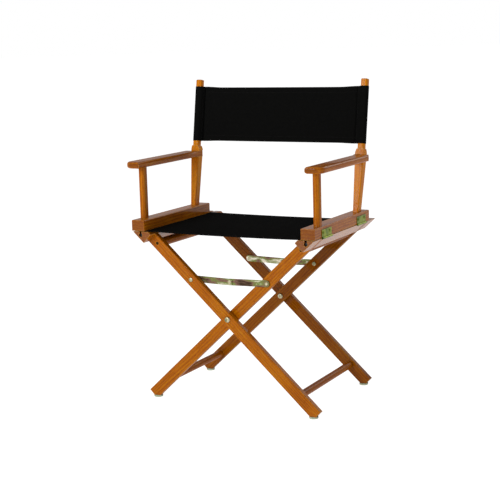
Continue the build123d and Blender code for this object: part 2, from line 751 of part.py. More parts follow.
def make_arm_hinge_screws(side):
    with BuildPart() as screws:
        for middle in HINGE_Y:
            for offset in (-HINGE_SCREW_OUT, HINGE_SCREW_OUT):
                with BuildSketch(Plane.YZ.offset(side * (BASE_OUT + LEAF_T))):
                    with Locations((middle + offset, HINGE_SCREW_Z)):
                        Circle(HEAD_R)
                extrude(amount=side * LEAF_T)
                with BuildSketch(Plane.YZ.offset(side * (BASE_OUT + LEAF_T))):
                    with Locations((middle + offset, HINGE_SCREW_Z)):
                        Circle(SCREW_R)
                extrude(amount=-side * LEAF_T)
        top = side * (BASE_OUT + 2 * LEAF_T)
        fillet(rims_at(screws, [top], "X"), HEAD_EASE)
        offsets = (-HINGE_SCREW_OUT, HINGE_SCREW_OUT)
        spots = [(middle + offset, HINGE_SCREW_Z) for middle in HINGE_Y for offset in offsets]
        cut_cross(Plane.YZ.offset(top), spots, -side * CROSS_D)
    return screws


for side, name in NAMES.items():
    save(make_arm_leaves(side), f"{name}_arm_hinge_leaves")
    save(make_rail_leaves(side), f"{name}_rail_hinge_leaves")
    save(make_hinge_pins(side), f"{name}_hinge_pins")
    save(make_arm_hinge_screws(side), f"{name}_arm_hinge_screws")


# ---------------------------------------------------------------- canvas

SEAT_FRONT = RAIL_FRONT + SEAT_FRONT_IN
SEAT_REAR = RAIL_REAR - SEAT_REAR_IN
CLOTH_LOW = RAIL_TOP + CLEAR
SEAM_X = KEY_X - SEAM_W


def make_seat_rod(side):
    """The rod that keeps the seat's hem in the keyhole slot."""
    with BuildPart() as rod:
        disc((side * KEY_X, KEY_Z), SEAT_FRONT, SEAT_REAR, ROD_R)
    return rod


def make_seat_sleeve(side):
    """The seat's hem: round the rod, up through the slot and in over the rail."""
    with BuildPart() as sleeve:
        disc((side * KEY_X, KEY_Z), SEAT_FRONT, SEAT_REAR, ROD_R + SLEEVE_T)
        with BuildSketch(facing_front(SEAT_REAR)):
            with Locations((side * KEY_X, KEY_Z)):
                Rectangle(2 * SLEEVE_T, CLOTH_LOW + CLOTH_T - KEY_Z, align=(Align.CENTER, Align.MIN))
            with Locations((side * (KEY_X + SLEEVE_T), CLOTH_LOW)):
                Rectangle(SEAM_W + SLEEVE_T, CLOTH_T, align=(
                    Align.MAX if side > 0 else Align.MIN, Align.MIN))
        extrude(amount=SEAT_REAR - SEAT_FRONT)
        disc((side * KEY_X, KEY_Z), SEAT_FRONT, SEAT_REAR, ROD_R + FIT, Mode.SUBTRACT)
    return sleeve


def make_back_sleeve(side):
    """The back's hem, sewn into a loop that slips down over the back post's neck."""
    bore = NECK + NECK_ROOM
    wall = bore + 2 * SLEEVE_T
    with BuildPart() as sleeve:
        with BuildSketch(Plane(
            origin=(0, BACK_POST_Y, BASE_TOP),
            x_dir=(1, 0, 0),
            z_dir=(0, sin(LEAN), cos(LEAN)),
        ).offset(BACK_LOW)):
            with Locations((side * NECK_X, 0)):
                RectangleRounded(wall, wall, NECK_R + SLEEVE_T)
            with Locations((side * NECK_X, 0)):
                Rectangle(wall / 2 + SEAM_W, BACK_T, align=(
                    Align.MAX if side > 0 else Align.MIN, Align.CENTER))
            with Locations((side * NECK_X, 0)):
                RectangleRounded(bore, bore, NECK_R, mode=Mode.SUBTRACT)
        extrude(amount=BACK_HIGH - BACK_LOW)
    return sleeve


with BuildPart() as seat_panel:
    block(-SEAM_X + CLEAR, SEAM_X - CLEAR, SEAT_FRONT, SEAT_REAR, CLOTH_LOW, CLOTH_LOW + CLOTH_T)
save(seat_panel, "seat_panel")

BACK_SEAM_X = NECK_X - NECK / 2 - NECK_ROOM / 2 - SLEEVE_T - SEAM_W
with BuildPart() as back_panel:
    with BuildSketch(post_plane(BACK_T / 2)):
        with Locations((0, BACK_LOW)):
            Rectangle(2 * (BACK_SEAM_X - CLEAR), BACK_HIGH - BACK_LOW, align=(Align.CENTER, Align.MIN))
    extrude(amount=BACK_T)
save(back_panel, "back_panel")

for side, name in NAMES.items():
    save(make_seat_rod(side), f"{name}_seat_rod")
    save(make_seat_sleeve(side), f"{name}_seat_sleeve")
    save(make_back_sleeve(side), f"{name}_back_sleeve")
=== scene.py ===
import math

import bmesh
import bpy
from mathutils import Matrix, Vector


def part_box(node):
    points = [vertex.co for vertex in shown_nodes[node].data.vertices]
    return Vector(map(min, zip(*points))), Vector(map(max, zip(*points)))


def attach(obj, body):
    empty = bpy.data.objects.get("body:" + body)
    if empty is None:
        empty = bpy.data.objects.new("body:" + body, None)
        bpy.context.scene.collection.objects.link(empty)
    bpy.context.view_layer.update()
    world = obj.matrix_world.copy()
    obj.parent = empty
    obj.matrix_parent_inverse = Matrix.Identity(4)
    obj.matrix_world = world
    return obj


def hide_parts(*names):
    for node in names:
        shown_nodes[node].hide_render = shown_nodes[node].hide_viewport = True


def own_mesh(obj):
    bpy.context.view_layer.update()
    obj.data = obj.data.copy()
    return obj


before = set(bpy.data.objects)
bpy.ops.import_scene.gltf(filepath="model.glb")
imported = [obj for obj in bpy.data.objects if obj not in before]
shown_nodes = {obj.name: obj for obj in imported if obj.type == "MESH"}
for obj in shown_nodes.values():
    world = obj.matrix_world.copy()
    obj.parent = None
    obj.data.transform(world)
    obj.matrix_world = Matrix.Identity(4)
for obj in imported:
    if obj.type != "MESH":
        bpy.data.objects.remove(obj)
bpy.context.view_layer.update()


# ---------------------------------------------------------------- studio
# A white seamless floor under an even white surround, with one large soft light in front and a
# weaker one behind, and the camera on the chair's front right, a little above the seat.

def colour(code):
    """The linear value that a shader takes, from a paint or dye's sRGB hex code."""
    parts = [int(code[i:i + 2], 16) / 255 for i in (1, 3, 5)]
    return [p / 12.92 if p <= 0.04045 else ((p + 0.055) / 1.055) ** 2.4 for p in parts] + [1.0]


def add(tree, kind, inputs=None, **options):
    """Adds one node with its options, and sets or links its inputs by name or number."""
    made = tree.nodes.new("ShaderNode" + kind)
    for name, value in options.items():
        setattr(made, name, value)
    for name, value in (inputs or {}).items():
        if isinstance(value, bpy.types.NodeSocket):
            tree.links.new(value, made.inputs[name])
        else:
            made.inputs[name].default_value = value
    return made


def finish_called(name):
    """A new material, with its node tree emptied."""
    material = bpy.data.materials.new(name)
    material.use_nodes = True
    material.node_tree.nodes.clear()
    return material, material.node_tree


def piece_from(name, mesh, materials):
    """A finished object from a bmesh, in its place in the chair."""
    bmesh.ops.remove_doubles(mesh, verts=mesh.verts[:], dist=1e-7)
    bmesh.ops.recalc_face_normals(mesh, faces=mesh.faces[:])
    data = bpy.data.meshes.new(name)
    mesh.to_mesh(data)
    mesh.free()
    for material in materials:
        data.materials.append(material)
    made = bpy.data.objects.new(name, data)
    bpy.context.scene.collection.objects.link(made)
    return made


camera_data = bpy.data.cameras.new("camera")
camera_data.sensor_width = 36.0
camera_data.lens = 90.865
camera_data.clip_end = 200.0
camera = bpy.data.objects.new("camera", camera_data)
bpy.context.scene.collection.objects.link(camera)
camera.location = (1.5709, -3.0521, 0.9987)
camera.rotation_euler = [math.radians(a) for a in (80.160, 1.551, 27.273)]
bpy.context.scene.camera = camera
bpy.context.scene.view_settings.view_transform = "Standard"

world = bpy.data.worlds.new("white_surround")
bpy.context.scene.world = world
world.use_nodes = True
world.node_tree.nodes.clear()
# The walls are white to the eye, show half as bright in gloss, and give only a soft fill.
seen = add(world.node_tree, "LightPath")
walls = add(world.node_tree, "MapRange", {
    "Value": seen.outputs["Is Camera Ray"], "To Min": 0.20, "To Max": 1.0})
mirrored = add(world.node_tree, "Math", {
    0: seen.outputs["Is Glossy Ray"], 1: 0.28, 2: walls.outputs[0]}, operation="MULTIPLY_ADD")
surround = add(world.node_tree, "Background", {
    "Color": (1.0, 1.0, 1.0, 1.0), "Strength": mirrored.outputs[0]})
add(world.node_tree, "OutputWorld", {"Surface": surround.outputs[0]})

for light_name, size, power, place in (
    ("front_softbox", 2.0, 60.0, (-0.9, -3.0, 1.9)),
    ("rear_softbox", 2.4, 26.0, (1.4, 2.8, 2.4)),
):
    light_data = bpy.data.lights.new(light_name, "AREA")
    light_data.shape = "DISK"
    light_data.size = size
    light_data.energy = power
    light = bpy.data.objects.new(light_name, light_data)
    bpy.context.scene.collection.objects.link(light)
    light.location = place
    aim = Vector((0, 0, 0.4)) - Vector(place)
    light.rotation_euler = aim.to_track_quat("-Z", "Y").to_euler()

FLOOR_RADIUS = 60.0
paper, tree = finish_called("white_background_paper")
# Matt white paper lit from behind: it spreads light back up under the chair.
seen = add(tree, "LightPath")
glow = add(tree, "MapRange", {
    "Value": seen.outputs["Is Camera Ray"], "To Min": 0.55, "To Max": 0.92})
paper_shader = add(tree, "BsdfPrincipled", {
    "Base Color": colour("#c8c8c8"), "Roughness": 0.9, "Specular IOR Level": 0.1,
    "Emission Color": (1.0, 1.0, 1.0, 1.0), "Emission Strength": glow.outputs[0]})
add(tree, "OutputMaterial", {"Surface": paper_shader.outputs[0]})
mesh = bmesh.new()
bmesh.ops.create_circle(mesh, cap_ends=True, segments=64, radius=FLOOR_RADIUS)
floor = piece_from("floor", mesh, [paper])


# ---------------------------------------------------------------- crossed frames
# Two frames of planed hardwood bars, stained honey and dipped in clear gloss lacquer. The legs'
# long edges are eased, and the seat rails are let into the legs' tops and glued.

GRAIN_ACROSS = 0.0045     # metres between the broad streaks across the grain
GRAIN_ALONG = 0.160
FIBRE = 0.0012            # a bundle of fibres, across and along the grain
FIBRE_LONG = 0.030
PORE = 0.0009             # real pores are a third as wide, drawn coarser so that they show
PORE_LONG = 0.008
EASED = 0.0022            # radius of the painted highlight along an arris
JOINT_REACH = 0.006       # how far the painted crevice shade and pooled stain reach
STAIN_DARK, STAIN_MID, STAIN_LIGHT = "#8a4302", "#b66302", "#cb8410"
# The darkest colour here is painted shade in the crevices, with stain pooled in the joints.
# The pale arris colour here is a painted highlight.
PORE_FILLER, END_GRAIN, PAINTED_ARRIS_HIGHLIGHT, JOINT_STAIN_AND_SHADE = "#6a2c04", "#5c2a08", "#f2bc58", "#1a0b03"


def honey_wood(name, turn, start, tone=0.5, stain_and_shade=1.0, gloss=0.2):
    """Lacquered honey hardwood with its grain along one direction. Straight streaks a few
    millimetres wide with fine dark pores are seen under a smooth gloss coat."""
    material, tree = finish_called(name)
    coords = add(tree, "TexCoord")
    turned = add(tree, "Mapping", {
        "Vector": coords.outputs["Object"], "Rotation": turn, "Location": start})
    drawn = add(tree, "Mapping", {
        "Vector": turned.outputs[0],
        "Scale": (1 / GRAIN_ALONG, 1 / (3 * GRAIN_ACROSS), 1 / (3 * GRAIN_ACROSS))})
    sway = add(tree, "TexNoise", {"Vector": drawn.outputs[0], "Scale": 0.6, "Detail": 2.0})
    bent = add(tree, "VectorMath", {0: drawn.outputs[0], 1: sway.outputs["Color"]},
               operation="ADD")
    figure = add(tree, "TexNoise", {
        "Vector": bent.outputs[0], "Scale": 3.0, "Detail": 5.0, "Roughness": 0.62,
        "Distortion": 0.3})
    rings = add(tree, "TexWave", {
        "Vector": bent.outputs[0], "Scale": 0.55, "Distortion": 5.0, "Detail": 3.0,
        "Detail Scale": 0.8}, wave_type="BANDS", bands_direction="Z")
    fibres = add(tree, "Mapping", {
        "Vector": turned.outputs[0], "Scale": (1 / FIBRE_LONG, 1 / FIBRE, 1 / FIBRE)})
    fibre = add(tree, "TexNoise", {"Vector": fibres.outputs[0], "Scale": 1.0, "Detail": 3.0})
    pores = add(tree, "Mapping", {
        "Vector": turned.outputs[0], "Scale": (1 / PORE_LONG, 1 / PORE, 1 / PORE)})
    pore = add(tree, "TexNoise", {"Vector": pores.outputs[0], "Scale": 1.0, "Detail": 1.0})
    pitted = add(tree, "MapRange", {
        "Value": pore.outputs["Fac"], "From Min": 0.30, "From Max": 0.40, "To Min": 0.7,
        "To Max": 0.0})
    blotch = add(tree, "TexNoise", {
        "Vector": turned.outputs[0], "Scale": 9.0, "Detail": 2.0})
    with_rings = add(tree, "Mix", {
        0: 0.20, 2: figure.outputs["Fac"], 3: rings.outputs["Fac"]}, data_type="FLOAT")
    with_fibre = add(tree, "Mix", {
        0: 0.25, 2: with_rings.outputs[0], 3: fibre.outputs["Fac"]}, data_type="FLOAT")
    with_blotch = add(tree, "Mix", {
        0: 0.22, 2: with_fibre.outputs[0], 3: blotch.outputs["Fac"]}, data_type="FLOAT")
    stain = add(tree, "ValToRGB", {"Fac": with_blotch.outputs[0]})
    ramp = stain.color_ramp
    ramp.elements[0].position = 0.30
    ramp.elements[0].color = colour(STAIN_DARK)
    ramp.elements[1].position = 0.72
    ramp.elements[1].color = colour(STAIN_LIGHT)
    ramp.elements.new(tone).color = colour(STAIN_MID)
    # Scaling the whole stain makes it darker or lighter; on the rear legs this is painted shade.
    for stop in ramp.elements:
        stop.color = [c * stain_and_shade for c in stop.color[:3]] + [1.0]
    # Dark filler stays in the pores.
    filled = add(tree, "Mix", {
        0: pitted.outputs[0], 6: stain.outputs["Color"], 7: colour(PORE_FILLER)},
        data_type="RGBA")
    # The cut ends drink more stain and go darker.
    facing = add(tree, "Mapping", {"Vector": coords.outputs["Normal"], "Rotation": turn},
                 vector_type="VECTOR")
    ways = add(tree, "SeparateXYZ", {"Vector": facing.outputs[0]})
    along = add(tree, "Math", {0: ways.outputs[0]}, operation="ABSOLUTE")
    cut = add(tree, "MapRange", {
        "Value": along.outputs[0], "From Min": 0.80, "From Max": 0.97, "To Min": 0.0,
        "To Max": 0.55})
    ended = add(tree, "Mix", {
        0: cut.outputs[0], 6: filled.outputs[2], 7: colour(END_GRAIN)}, data_type="RGBA")
    # Painted highlight: a pale colour along the eased edges, where the gloss coat catches the
    # light.
    rounded = add(tree, "Bevel", {"Radius": EASED}, samples=4)
    flat = add(tree, "NewGeometry")
    alike = add(tree, "VectorMath", {0: rounded.outputs[0], 1: flat.outputs["True Normal"]},
                operation="DOT_PRODUCT")
    edge = add(tree, "MapRange", {
        "Value": alike.outputs["Value"], "From Min": 0.99, "From Max": 0.80, "To Min": 0.0,
        "To Max": 0.65})
    with_painted_highlight = add(tree, "Mix", {
        0: edge.outputs[0], 6: ended.outputs[2], 7: colour(PAINTED_ARRIS_HIGHLIGHT)}, data_type="RGBA")
    # Painted shade: the wood darkens wherever another surface closes in, in crevices and between
    # parts, mixed with stain and lacquer pooled in the joints.
    open_air = add(tree, "AmbientOcclusion", {"Distance": JOINT_REACH}, samples=6)
    pooled_stain_and_shade = add(tree, "MapRange", {
        "Value": open_air.outputs["AO"], "From Min": 0.62, "From Max": 0.30, "To Min": 0.0,
        "To Max": 0.85})
    with_joint_stain_and_shade = add(tree, "Mix", {
        0: pooled_stain_and_shade.outputs[0], 6: with_painted_highlight.outputs[2], 7: colour(JOINT_STAIN_AND_SHADE)}, data_type="RGBA")
    rubbed = add(tree, "MapRange", {
        "Value": fibre.outputs["Fac"], "To Min": 0.28, "To Max": 0.42})
    relief = add(tree, "Bump", {
        "Height": fibre.outputs["Fac"], "Strength": 0.12, "Distance": 0.0004})
    shader = add(tree, "BsdfPrincipled", {
        "Base Color": with_joint_stain_and_shade.outputs[2], "Roughness": rubbed.outputs[0], "IOR": 1.5,
        "Specular IOR Level": 0.03, "Coat Weight": gloss, "Coat Roughness": 0.07, "Coat IOR": 1.5,
        "Normal": relief.outputs[0]})
    add(tree, "OutputMaterial", {"Surface": shader.outputs[0]})
    return material


def give(node, material):
    """Puts a finish on a CAD node."""
    data = shown_nodes[node].data
    data.materials.clear()
    data.materials.append(material)


LEG_SLOPE = math.radians(43)
QUARTER = math.radians(90)
SIDES = {"left": -1, "right": 1}
for number, (side, sign) in enumerate(SIDES.items()):
    # The rear legs' copy is darkened to 0.62: painted shade, as they stand farther back from the
    # front light.
    for place, shift, stain_and_shade in (("front", 0.0, 1.0), ("rear", 1.7, 0.62)):
        give(f"{side}_frame_{place}_leg", honey_wood(
            f"honey_hardwood_{side}_{place}_leg", (0, sign * LEG_SLOPE, 0),
            (shift + number, 0.31 * number, shift), stain_and_shade=stain_and_shade))
    give(f"{side}_seat_rail", honey_wood(
        f"honey_hardwood_{side}_seat_rail", (0, 0, -QUARTER), (0.4 + number, 2.0, 0.6),
        gloss=0.75))
    for place, shift in (("upper", 0.2), ("lower", 0.9)):
        give(f"{side}_frame_{place}_stretcher", honey_wood(
            f"honey_hardwood_{side}_{place}_stretcher", (0, 0, -QUARTER),
            (shift, 1.1 * number, shift), tone=0.55, stain_and_shade=0.8))


# ---------------------------------------------------------------- arm frames
# Base rail, two posts and armrest of the same lacquered hardwood, doweled and glued. The back
# post leans back and carries the armrest's tongue in a notch, held by one screw.

LEAN = math.radians(9.8)
for number, side in enumerate(SIDES):
    give(f"{side}_base_rail", honey_wood(
        f"honey_hardwood_{side}_base_rail", (0, 0, -QUARTER), (3.0 + number, 0.7, 1.9),
        gloss=0.45))
    give(f"{side}_armrest", honey_wood(
        f"honey_hardwood_{side}_armrest", (0, 0, -QUARTER), (4.1 + number, 0.2, 2.4),
        gloss=0.3))
    give(f"{side}_front_post", honey_wood(
        f"honey_hardwood_{side}_front_post", (0, QUARTER, 0), (5.0 + number, 0.9, 0.3),
        tone=0.46))
    give(f"{side}_back_post", honey_wood(
        f"honey_hardwood_{side}_back_post", (LEAN, QUARTER, 0), (6.3 + number, 1.4, 0.8),
        tone=0.40, stain_and_shade=1.4))


# ---------------------------------------------------------------- steel fittings
# Pressed braces, butt hinges, rivets, screws and pivot bolts, all mild steel with yellow
# passivated zinc plate. The screws sunk in the wood are dark under the lacquer it was dipped in.

def zinc(name, film_colours, spread, grain):
    """Yellow passivated zinc: a satin metal whose thin film drifts from straw to green and rose
    over a few centimetres, with fine drawing lines."""
    material, tree = finish_called(name)
    coords = add(tree, "TexCoord")
    patches = add(tree, "Mapping", {"Vector": coords.outputs["Object"], "Scale": spread})
    drift = add(tree, "TexNoise", {
        "Vector": patches.outputs[0], "Scale": 1.0, "Detail": 3.0, "Distortion": 0.5})
    film = add(tree, "ValToRGB", {"Fac": drift.outputs["Fac"]})
    ramp = film.color_ramp
    ramp.elements[0].position = 0.34
    ramp.elements[0].color = colour(film_colours[0])
    ramp.elements[1].position = 0.68
    ramp.elements[1].color = colour(film_colours[-1])
    for number, between in enumerate(film_colours[1:-1]):
        ramp.elements.new(0.44 + 0.10 * number).color = colour(between)
    lines = add(tree, "Mapping", {"Vector": coords.outputs["Object"], "Scale": grain})
    drawn = add(tree, "TexNoise", {"Vector": lines.outputs[0], "Scale": 1.0, "Detail": 3.0})
    satin = add(tree, "MapRange", {
        "Value": drawn.outputs["Fac"], "To Min": 0.22, "To Max": 0.44})
    relief = add(tree, "Bump", {
        "Height": drawn.outputs["Fac"], "Strength": 0.10, "Distance": 0.0002})
    shader = add(tree, "BsdfPrincipled", {
        "Base Color": film.outputs["Color"], "Metallic": 1.0, "Roughness": satin.outputs[0],
        "Normal": relief.outputs[0]})
    add(tree, "OutputMaterial", {"Surface": shader.outputs[0]})
    return material


leaf_zinc = zinc("yellow_zinc_hinge_leaf", ("#4e6020", "#6c7e2a", "#9aa438"),
                 (40, 40, 40), (900, 40, 900))
brace_zinc = zinc("yellow_zinc_pressed_brace",
                  ("#4a3a2c", "#8a6a5c", "#7c8a48", "#efe6cf"), (22, 60, 60), (40, 900, 900))
rivet_zinc = zinc("yellow_zinc_turned_rivet", ("#8c8f70", "#b5ad84", "#dcd6bc"),
                  (90, 90, 90), (700, 700, 700))
screw_zinc = zinc("lacquered_zinc_screw", ("#1c140a", "#33240f", "#584220"),
                  (90, 90, 90), (700, 700, 700))
for name in shown_nodes:
    if "brace_link" in name:
        give(name, brace_zinc)
    elif "hinge" in name:
        give(name, leaf_zinc)
    elif "screw" in name:
        give(name, screw_zinc)
    elif "rivet" in name or "pivot" in name or "brace_spacers" in name:
        give(name, rivet_zinc)


# ---------------------------------------------------------------- glides
# Moulded natural nylon discs with a prong pressed up into the end of each leg.

nylon, tree = finish_called("natural_nylon")
# Natural nylon lets a little light through, so its rims look soft and milky.
coords = add(tree, "TexCoord")
scuff = add(tree, "TexNoise", {"Vector": coords.outputs["Object"], "Scale": 220.0, "Detail": 4.0})
milky = add(tree, "ValToRGB", {"Fac": scuff.outputs["Fac"]})
milky.color_ramp.elements[0].color = colour("#a9b498")
milky.color_ramp.elements[1].color = colour("#cdd8bd")
dull = add(tree, "MapRange", {"Value": scuff.outputs["Fac"], "To Min": 0.35, "To Max": 0.6})
shader = add(tree, "BsdfPrincipled", {
    "Base Color": milky.outputs["Color"], "Roughness": dull.outputs[0],
    "IOR": 1.53, "Subsurface Weight": 0.25, "Subsurface Scale": 0.003})
add(tree, "OutputMaterial", {"Surface": shader.outputs[0]})
for side in SIDES:
    give(f"{side}_frame_glides", nylon)


# ---------------------------------------------------------------- seat rods
# A pultruded black fibreglass rod in each of the seat's side hems keeps the hem in the rail's slot.

fibreglass, tree = finish_called("pultruded_fibreglass")
# Glass strands run along the rod under a thin black resin skin, so it is streaked and half shiny.
coords = add(tree, "TexCoord")
strands = add(tree, "Mapping", {"Vector": coords.outputs["Object"], "Scale": (1500, 25, 1500)})
strand = add(tree, "TexNoise", {"Vector": strands.outputs[0], "Scale": 1.0, "Detail": 2.0})
grey = add(tree, "ValToRGB", {"Fac": strand.outputs["Fac"]})
grey.color_ramp.elements[0].color = colour("#101010")
grey.color_ramp.elements[1].color = colour("#2a2a28")
shader = add(tree, "BsdfPrincipled", {
    "Base Color": grey.outputs["Color"], "Roughness": 0.4, "IOR": 1.53})
add(tree, "OutputMaterial", {"Surface": shader.outputs[0]})
for side in SIDES:
    give(f"{side}_seat_rod", fibreglass)


# ---------------------------------------------------------------- seat canvas
# Black cotton duck, cut with its threads square to the chair. Its front and rear edges are turned
# under and sewn with two rows, and each side is folded round its rod and sewn back on itself.

THREAD_PITCH = 0.0016     # real yarns are 0.8 mm apart, drawn double so that the weave shows


def duck(name, turn, along, run=False):
    """Plain-weave cotton duck, dyed black: matt with a faint lint sheen, and a little greyer on
    the crowns of the yarns. They run across, or by the distance round a hem, and along an axis."""
    material, tree = finish_called(name)
    coords = add(tree, "TexCoord")
    turned = add(tree, "Mapping", {"Vector": coords.outputs["Object"], "Rotation": turn})
    apart = add(tree, "SeparateXYZ", {"Vector": turned.outputs[0]})
    across = apart.outputs[0]
    if run:
        across = add(tree, "Attribute", attribute_name="run").outputs["Fac"]
    crowns = []
    for yarn in (across, apart.outputs[along]):
        turns = add(tree, "Math", {0: yarn, 1: math.pi / THREAD_PITCH}, operation="MULTIPLY")
        wave = add(tree, "Math", {0: turns.outputs[0]}, operation="SINE")
        crowns.append(wave.outputs[0])
    over = add(tree, "Math", {0: crowns[0], 1: crowns[1]}, operation="MULTIPLY")
    slub = add(tree, "TexNoise", {
        "Vector": turned.outputs[0], "Scale": 140.0, "Detail": 4.0, "Roughness": 0.7})
    raised = add(tree, "Math", {0: over.outputs[0], 1: slub.outputs["Fac"]}, operation="ADD")
    lint = add(tree, "MapRange", {"Value": raised.outputs[0], "From Min": -0.4, "From Max": 1.6})
    dye = add(tree, "ValToRGB", {"Fac": lint.outputs[0]})
    dye.color_ramp.elements[0].color = colour("#0a0a0a")
    dye.color_ramp.elements[1].color = colour("#171716")
    relief = add(tree, "Bump", {
        "Height": raised.outputs[0], "Strength": 0.35, "Distance": 0.0003})
    shader = add(tree, "BsdfPrincipled", {
        "Base Color": dye.outputs["Color"], "Roughness": 1.0, "Specular IOR Level": 0.006,
        "Sheen Weight": 0.005, "Sheen Roughness": 0.6, "Sheen Tint": colour("#8a8a88"),
        "Normal": relief.outputs[0]})
    add(tree, "OutputMaterial", {"Surface": shader.outputs[0]})
    return material


PLY = 0.00065
HEM = 0.018
TURN = 0.0004             # half of the gap between the cloth and its turned hem
HEM_ROWS = (0.0025, HEM - 0.003)     # the two rows of stitches, in from the edge
seat_low, seat_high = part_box("seat_panel")
seat_top = seat_high.z - PLY / 2
seat_cloth = duck("black_cotton_duck_seat", (0, 0, 0), 1)


def layer(mesh, corner_a, corner_b, height, columns, rows):
    """A level rectangle of cloth between two corners."""
    made = bmesh.ops.create_grid(mesh, x_segments=columns, y_segments=rows, size=0.5)["verts"]
    bmesh.ops.scale(mesh, verts=made, vec=(
        corner_b[0] - corner_a[0], corner_b[1] - corner_a[1], 1))
    bmesh.ops.translate(mesh, verts=made, vec=(
        (corner_a[0] + corner_b[0]) / 2, (corner_a[1] + corner_b[1]) / 2, height))
    return made


def turn_under(mesh, axis, value, sign, drop):
    """Folds a hem under along the border at one value of an axis, with a rounded fold."""
    edges = [e for e in mesh.edges if e.is_boundary
             and all(abs(v.co[axis] - value) < 1e-6 for v in e.verts)]
    for forward, down in ((0.7, 0.3), (0.3, 0.7), (-0.3, 0.7), (-0.7, 0.3)):
        move = Vector((0, 0, -drop * down / 2))
        move[axis] = sign * drop * forward / 2
        made = bmesh.ops.extrude_edge_only(mesh, edges=edges)["geom"]
        bmesh.ops.translate(
            mesh, verts=[g for g in made if isinstance(g, bmesh.types.BMVert)], vec=move)
        edges = [g for g in made if isinstance(g, bmesh.types.BMEdge)]
    for _ in range(4):
        move = Vector((0, 0, 0))
        move[axis] = -sign * HEM / 4
        made = bmesh.ops.extrude_edge_only(mesh, edges=edges)["geom"]
        bmesh.ops.translate(
            mesh, verts=[g for g in made if isinstance(g, bmesh.types.BMVert)], vec=move)
        edges = [g for g in made if isinstance(g, bmesh.types.BMEdge)]


def in_one_ply(name, mesh, cloth):
    """A piece of one ply of duck, from its middle surface."""
    made = piece_from(name, mesh, [cloth])
    ply = made.modifiers.new("ply", "SOLIDIFY")
    ply.thickness = PLY
    ply.offset = 0.0
    for face in made.data.polygons:
        face.use_smooth = True
    return made


def seat_dip(x, y):
    """How far the stretched seat hangs below its rails: most in the middle, with faint pulls."""
    half = seat_high.x
    bow = 1 - (x / half) ** 2
    pull = math.sin(y * 46 + 1.3 * math.sin(x * 9)) * (x / half) ** 2 * bow
    return -0.0022 * bow + 0.0006 * pull


mesh = bmesh.new()
layer(mesh, (seat_low.x, seat_low.y + TURN), (seat_high.x, seat_high.y - TURN), seat_top, 72, 56)
for value, sign in ((seat_low.y + TURN, -1), (seat_high.y - TURN, 1)):
    turn_under(mesh, 1, value, sign, 2 * TURN)
for vert in mesh.verts:
    vert.co.z += seat_dip(vert.co.x, vert.co.y)
seat = in_one_ply("seat_canvas", mesh, seat_cloth)
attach(seat, "seat_cloth")
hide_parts("seat_panel")

# Sewing thread: a round bonded polyester a little glossier than the cloth.
bonded_thread, tree = finish_called("bonded_polyester_thread")
coords = add(tree, "TexCoord")
twist = add(tree, "TexWave", {"Vector": coords.outputs["Object"], "Scale": 300.0,
                              "Distortion": 1.0}, bands_direction="DIAGONAL")
thread_dye = add(tree, "ValToRGB", {"Fac": twist.outputs["Fac"]})
thread_dye.color_ramp.elements[0].color = colour("#050505")
thread_dye.color_ramp.elements[1].color = colour("#151514")
shader = add(tree, "BsdfPrincipled", {
    "Base Color": thread_dye.outputs["Color"], "Roughness": 0.7, "Specular IOR Level": 0.2})
add(tree, "OutputMaterial", {"Surface": shader.outputs[0]})

STITCH = 0.0036
THREAD = 0.00035
STITCH_GAP = 0.0008


def sew(mesh, start, end, surface=lambda spot: Vector((0, 0, 0))):
    """A straight row of stitches from start to end, laid on a surface: surface moves each one."""
    start, end = Vector(start), Vector(end)
    way = end - start
    count = int(way.length / (STITCH + STITCH_GAP))
    turn = way.to_track_quat("X", "Z").to_matrix().to_4x4()
    for number in range(count):
        middle = start + way * ((number + 0.5) / count)
        place = Matrix.Translation(middle + surface(middle)) @ turn
        bmesh.ops.create_icosphere(
            mesh, subdivisions=1, radius=1.0,
            matrix=place @ Matrix.Diagonal((STITCH / 2, THREAD, THREAD, 1)))


mesh = bmesh.new()
on_seat = seat_top + PLY / 2
for edge, sign in ((seat_low.y, 1), (seat_high.y, -1)):
    for inset in HEM_ROWS:
        y = edge + sign * inset
        sew(mesh, (seat_low.x + 0.001, y, on_seat), (seat_high.x - 0.001, y, on_seat),
            lambda spot: Vector((0, 0, seat_dip(spot.x, spot.y))))
seat_stitches = piece_from("seat_hem_stitches", mesh, [bonded_thread])
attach(seat_stitches, "seat_cloth")


def trace(mesh, start, moves):
    """A profile drawn from a start point: each move is a point to go straight to, or a centre,
    an angle and a number of steps to turn through. Each point keeps its distance along."""
    distance = mesh.verts.layers.float.new("run")
    path = [bmesh.ops.create_vert(mesh, co=start)["vert"][0]]
    for move in moves:
        if len(move) == 2:
            made = bmesh.ops.extrude_vert_indiv(mesh, verts=[path[-1]])["verts"]
            made[0].co = Vector((*move, 0))
            path.append(made[0])
        else:
            centre, angle, steps = move
            known = set(mesh.verts)
            bmesh.ops.spin(mesh, geom=[path[-1]], cent=(*centre, 0), axis=(0, 0, 1),
                           angle=angle, steps=steps)
            new = [v for v in mesh.verts if v not in known]
            while new:
                near = min(new, key=lambda v: (v.co - path[-1].co).length)
                path.append(near)
                new.remove(near)
    for before, after in zip(path, path[1:]):
        after[distance] = before[distance] + (after.co - before.co).length
    return path


def draw_out(mesh, length, rows):
    """Draws a profile out along Z into a sheet."""
    edges = mesh.edges[:]
    for row in range(rows):
        made = bmesh.ops.extrude_edge_only(mesh, edges=edges)["geom"]
        bmesh.ops.translate(
            mesh, verts=[g for g in made if isinstance(g, bmesh.types.BMVert)],
            vec=(0, 0, length / rows))
        edges = [g for g in made if isinstance(g, bmesh.types.BMEdge)
                 and abs(g.verts[0].co.z - g.verts[1].co.z) < 1e-9
                 and abs(g.verts[0].co.z - length * (row + 1) / rows) < 1e-6]


